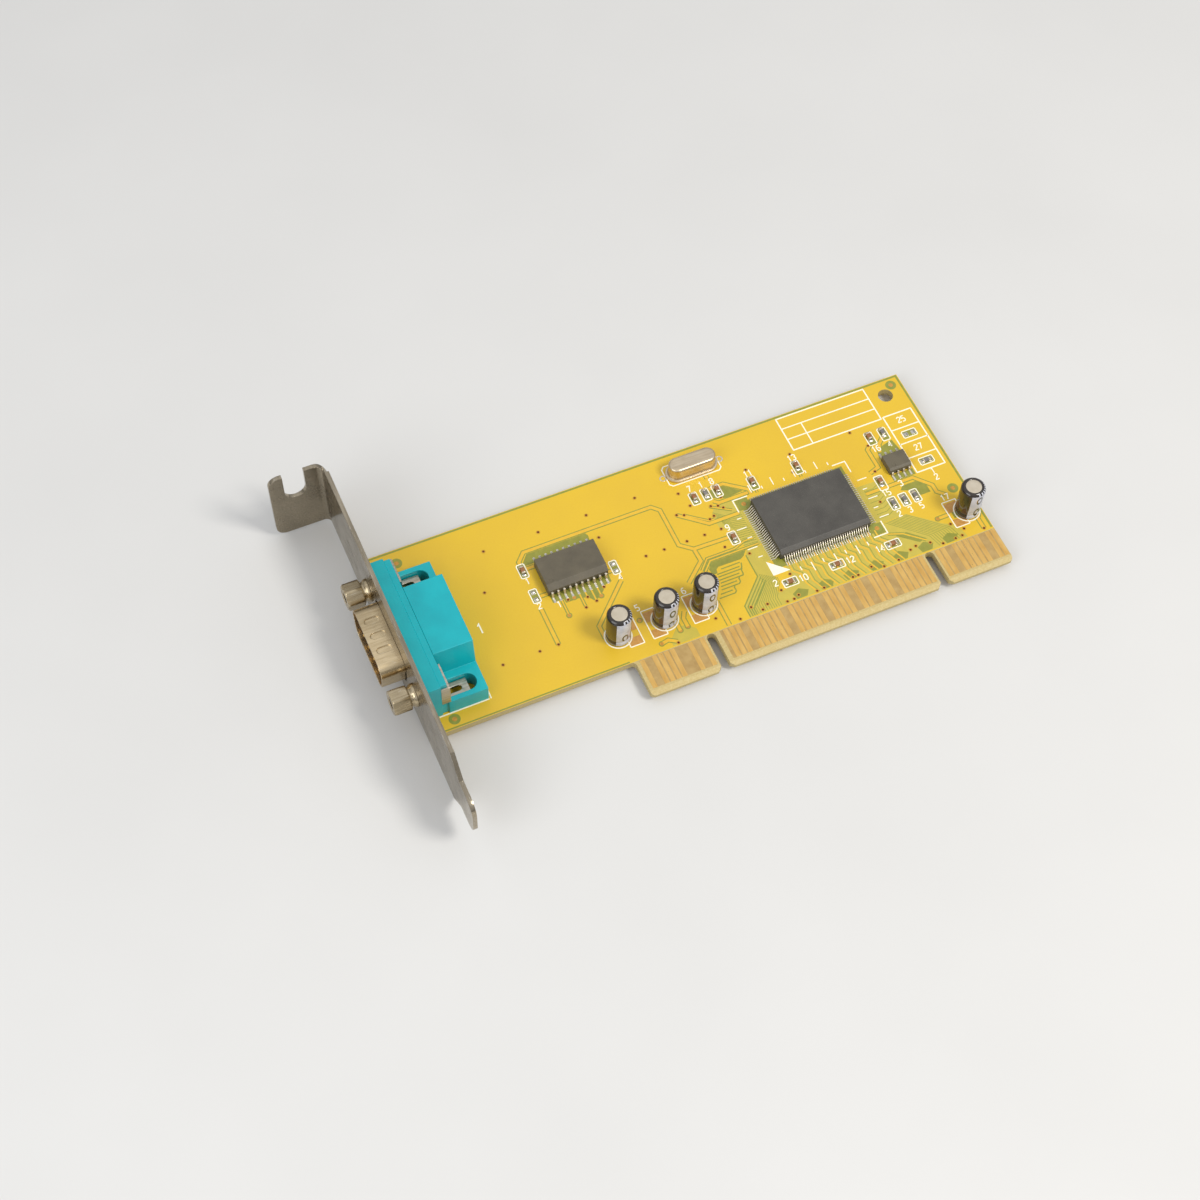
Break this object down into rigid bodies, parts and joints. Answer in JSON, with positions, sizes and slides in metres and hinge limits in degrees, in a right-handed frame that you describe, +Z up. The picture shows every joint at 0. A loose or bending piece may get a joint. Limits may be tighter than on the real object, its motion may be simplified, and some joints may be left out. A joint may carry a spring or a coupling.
{
  "type": "serial port card",
  "caption": "Low-profile expansion card with a D-shaped serial port on its bracket, jackscrews, controller and line driver chips, crystal, radial capacitors and a keyed card edge.",
  "frame": {"origin": "card-edge datum: middle of the key notch nearest the bracket, on the line where the contact tabs begin, at the component surface of the board", "axes": "+X along the board away from the bracket, +Y from the card edge towards the board's top edge, +Z up from the component surface"},
  "size_m": [0.1329, 0.0791, 0.0194],
  "materials": {
    "board": "yellow solder mask",
    "gold": "gold flash",
    "gold_pins": "gold flash",
    "bracket": "passivated zinc",
    "port_steel": "passivated zinc",
    "insulator": "moulded",
    "housing": "moulded",
    "tinned": "bright tin",
    "solder": "solder",
    "crystal_metal": "nickel",
    "can_metal": "drawn",
    "sleeve": "shrunk film",
    "bung": "moulded",
    "chip": "moulded",
    "capacitor_ceramic": "fired",
    "resistor_ceramic": "fired"
  },
  "bodies": {
    "root": {"circuit_board": "board", "front_edge_contacts": "gold", "back_edge_contacts": "gold", "mounting_bracket": "bracket", "connector_shell": "port_steel", "connector_insert": "insulator", "connector_housing": "housing", "upper_contact_row": "gold_pins", "lower_contact_row": "gold_pins", "jackscrew_near": "port_steel", "jackscrew_far": "port_steel", "board_lock_near": "tinned", "board_lock_far": "tinned", "crystal_base": "crystal_metal", "crystal_can": "crystal_metal", "crystal_leads": "tinned", "controller_body": "chip", "controller_leads": "tinned", "driver_body": "chip", "driver_leads": "tinned", "memory_body": "chip", "memory_leads": "tinned", "chip_end_caps": "solder", "solder_joints": "solder", "jumper_rx2": "resistor_ceramic", "can_1_shell": "can_metal", "can_1_sleeve": "sleeve", "can_1_bung": "bung", "can_1_leads": "tinned", "can_2_shell": "can_metal", "can_2_sleeve": "sleeve", "can_2_bung": "bung", "can_2_leads": "tinned", "can_3_shell": "can_metal", "can_3_sleeve": "sleeve", "can_3_bung": "bung", "can_3_leads": "tinned", "can_4_shell": "can_metal", "can_4_sleeve": "sleeve", "can_4_bung": "bung", "can_4_leads": "tinned", "capacitor_c1": "capacitor_ceramic", "capacitor_c7": "capacitor_ceramic", "capacitor_c8": "capacitor_ceramic", "capacitor_c9": "capacitor_ceramic", "capacitor_c10": "capacitor_ceramic", "capacitor_c11": "capacitor_ceramic", "capacitor_c12": "capacitor_ceramic", "capacitor_c13": "capacitor_ceramic", "capacitor_c14": "capacitor_ceramic", "capacitor_c15": "capacitor_ceramic", "capacitor_c16": "capacitor_ceramic", "resistor_r1": "resistor_ceramic", "resistor_r2": "resistor_ceramic", "resistor_r3": "resistor_ceramic", "resistor_r4": "resistor_ceramic", "resistor_r5": "resistor_ceramic"}
  },
  "joints": []
}
